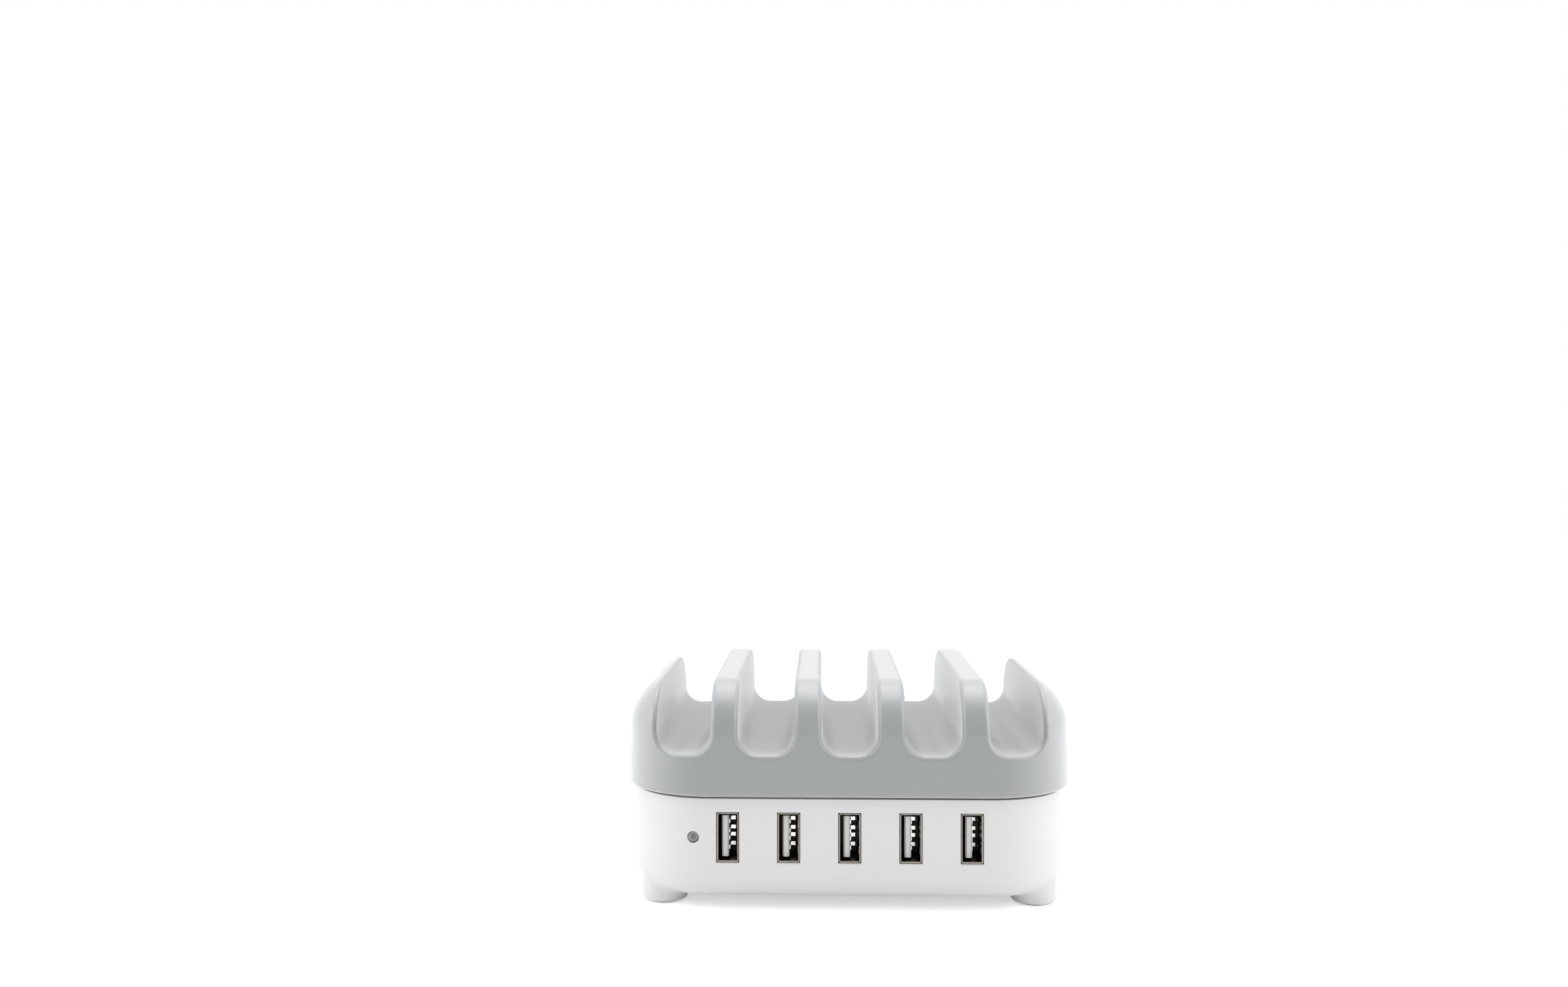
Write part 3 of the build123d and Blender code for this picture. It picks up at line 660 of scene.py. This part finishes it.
def stripsInSockets(name, depth, low, high, width, heights):
    # In every socket and at each height, a strip carried along the depth: x from low to high off the
    # socket's axis, z half the width each way.
    corners = [(low, -width / 2), (high, -width / 2), (high, width / 2), (low, width / 2)]
    strip = np.stack([np.stack([x, depth, np.full_like(depth, z)], 1) for x, z in corners], 1)
    spots = np.array([[x, 0.0, z + height] for x, _, z in portPlaces for height in heights])
    points = (strip[None] + spots[:, None, None, :]).reshape(-1, 3)
    number = np.arange(len(points)).reshape(len(spots), len(depth), len(corners))
    beside = np.roll(number, -1, axis=2)
    sides = np.stack([number[:, :-1], number[:, 1:], beside[:, 1:], beside[:, :-1]], -1).reshape(-1, 4)
    ends = np.concatenate([number[:, 0], number[:, -1, ::-1]])
    mesh = bpy.data.meshes.new(name)
    mesh.from_pydata((points * millimetre).tolist(), [], np.concatenate([sides, ends]).tolist())
    print(name, "made,", len(spots))
    return mesh


# Spring contacts on the tongues: each lies flat, then bends up sharply and runs back, sizes in mm
contacts = {
    "heights": (-3.5, -1.0, 1.0, 3.5), "face": contactLow[wide] - portPlaces[0][wide],
    "front": contactLow[deep], "back": contactHigh[deep], "rise": contactHigh[wide] - contactLow[wide],
    "flat": 4.2, "bend": 0.03, "metal": 0.25, "fall": 0.35, "width": 1.0, "steps": 40, "bendSteps": 10,
}


def makeContacts():
    # Height off the tongue: metal + (rise - metal) * s(bend), less fall along the rest; s is a smooth step.
    run = np.linspace(0.0, contacts["back"] - contacts["front"], contacts["steps"])
    bendRun = contacts["flat"] + np.linspace(0.0, contacts["bend"], contacts["bendSteps"])
    run = np.unique(np.concatenate([run, bendRun]))
    share = np.clip((run - contacts["flat"]) / contacts["bend"], 0.0, 1.0)
    after = np.clip((run - contacts["flat"] - contacts["bend"]) / (run[-1] - contacts["flat"]), 0.0, 1.0)
    smooth = share * share * (3.0 - 2.0 * share)
    lift = contacts["metal"] + (contacts["rise"] - contacts["metal"]) * smooth - contacts["fall"] * after ** 2
    foot = np.full_like(run, contacts["face"])
    mesh = stripsInSockets(
        "contactStrips", contacts["front"] + run, foot, foot + lift, contacts["width"], contacts["heights"])
    addPiece("contactStrips", mesh, "contact_metal", [f"usb_contacts_{i + 1}" for i in range(portCount)])


makeContacts()


# Leaf springs on the right inner wall of each shell, sizes in mm
springs = {
    "heights": (-3.5, 3.5), "wall": mouthHalf, "front": -45.2, "length": 6.0, "width": 1.9,
    "bulge": 0.5, "metal": 0.2, "sink": 0.05, "steps": 14,
}


def makeSprings():
    # Each leaf is a flat strip carried along the depth, standing off the wall by bulge * sin^2(pi * share).
    share = np.linspace(0.0, 1.0, springs["steps"])
    depth = springs["front"] + springs["length"] * share
    near = springs["wall"] - (springs["bulge"] * np.sin(np.pi * share) ** 2 - springs["sink"])
    far = near - springs["metal"]
    mesh = stripsInSockets("shellSprings", depth, far, near, springs["width"], springs["heights"])
    addPiece("shellSprings", mesh, "socket_steel")


makeSprings()


# Stage: pale floor, white surround, soft lamps, sizes in metres
stage = {
    "floorHalf": 3.0, "floorTone": (0.92, 0.92, 0.92), "floorRough": 0.6, "floorLift": 0.5,
    "worldSeen": 1.0, "worldLight": 0.5,
    "lamps": {
        "leftSoftbox": {"at": (-0.64, -0.12, 0.34), "size": (0.7, 0.7), "power": 2.25},
        "rightSoftbox": {"at": (0.64, -0.12, 0.34), "size": (0.7, 0.7), "power": 2.4},
        "topSoftbox": {"at": (0.0, 0.14, 0.85), "size": (0.9, 0.7), "power": 4.9},
    },
    "aim": (0.0, 0.0, 0.03),
}


def mathOf(tree, operation, first, second):
    sums = addNode(tree, "ShaderNodeMath", operation=operation)
    join(tree, first, sums.inputs[0])
    join(tree, second, sums.inputs[1])
    return sums.outputs["Value"]


def seenShare(tree):
    # 1 for rays from the camera, off gloss and through glass, else 0.
    rays = addNode(tree, "ShaderNodeLightPath").outputs
    seen = mathOf(tree, "MAXIMUM", rays["Is Camera Ray"], rays["Is Glossy Ray"])
    return mathOf(tree, "MAXIMUM", seen, rays["Is Transmission Ray"])


def makeFloor():
    half = stage["floorHalf"]
    corners = [(-half, -half, 0.0), (half, -half, 0.0), (half, half, 0.0), (-half, half, 0.0)]
    finish = bpy.data.materials.new("paleFloor")
    finish.use_nodes = True
    tree = finish.node_tree
    shader = tree.nodes["Principled BSDF"]
    lift = mathOf(tree, "MULTIPLY", seenShare(tree), stage["floorLift"])
    feed(tree, shader, Base_Color=opaque(stage["floorTone"]), Roughness=stage["floorRough"])
    feed(tree, shader, Emission_Color=white, Emission_Strength=lift)
    mesh = bpy.data.meshes.new("floor")
    mesh.from_pydata(corners, [], [range(len(corners))])
    mesh.materials.append(finish)
    floor = bpy.data.objects.new("floor", mesh)
    bpy.context.scene.collection.objects.link(floor)


def makeWorld():
    world = bpy.data.worlds.new("studio")
    bpy.context.scene.world = world
    world.use_nodes = True
    tree = world.node_tree
    level = addNode(tree, "ShaderNodeMapRange")
    feed(tree, level, Value=seenShare(tree), To_Min=stage["worldLight"], To_Max=stage["worldSeen"])
    feed(tree, tree.nodes["Background"], Color=white, Strength=level.outputs["Result"])


def makeLamps():
    aim = Vector(stage["aim"])
    for name, lamp in stage["lamps"].items():
        light = bpy.data.lights.new(name, "AREA")
        light.shape = "RECTANGLE"
        light.size, light.size_y = lamp["size"]
        light.energy = lamp["power"]
        holder = bpy.data.objects.new(name, light)
        holder.location = lamp["at"]
        holder.rotation_euler = (aim - holder.location).to_track_quat("-Z", "Y").to_euler()
        bpy.context.scene.collection.objects.link(holder)


# Camera, as the picture was taken: focal length in pixels of a 2408 wide frame, place in metres
camera = {
    "focalPixels": 2090.0, "framePixels": 2408.0, "sensor": 36.0, "at": (-0.00755, -0.414, 0.1143),
    "level": 90.0, "tiltUp": -0.15, "turnLeft": 1.59, "clipStart": 0.01,
}


def makeCamera():
    # An unturned camera looks down, so level is the turn that brings it to the horizon.
    optics = bpy.data.cameras.new("pictureCamera")
    optics.sensor_width = camera["sensor"]
    optics.lens = camera["sensor"] * camera["focalPixels"] / camera["framePixels"]
    optics.clip_start = camera["clipStart"]
    holder = bpy.data.objects.new("pictureCamera", optics)
    holder.location = camera["at"]
    holder.rotation_euler = (
        math.radians(camera["level"] + camera["tiltUp"]), 0.0, math.radians(camera["turnLeft"]))
    bpy.context.scene.collection.objects.link(holder)
    bpy.context.scene.camera = holder


makeFloor()
makeWorld()
makeLamps()
makeCamera()
bpy.context.scene.view_settings.view_transform = "Standard"
print("stage set")
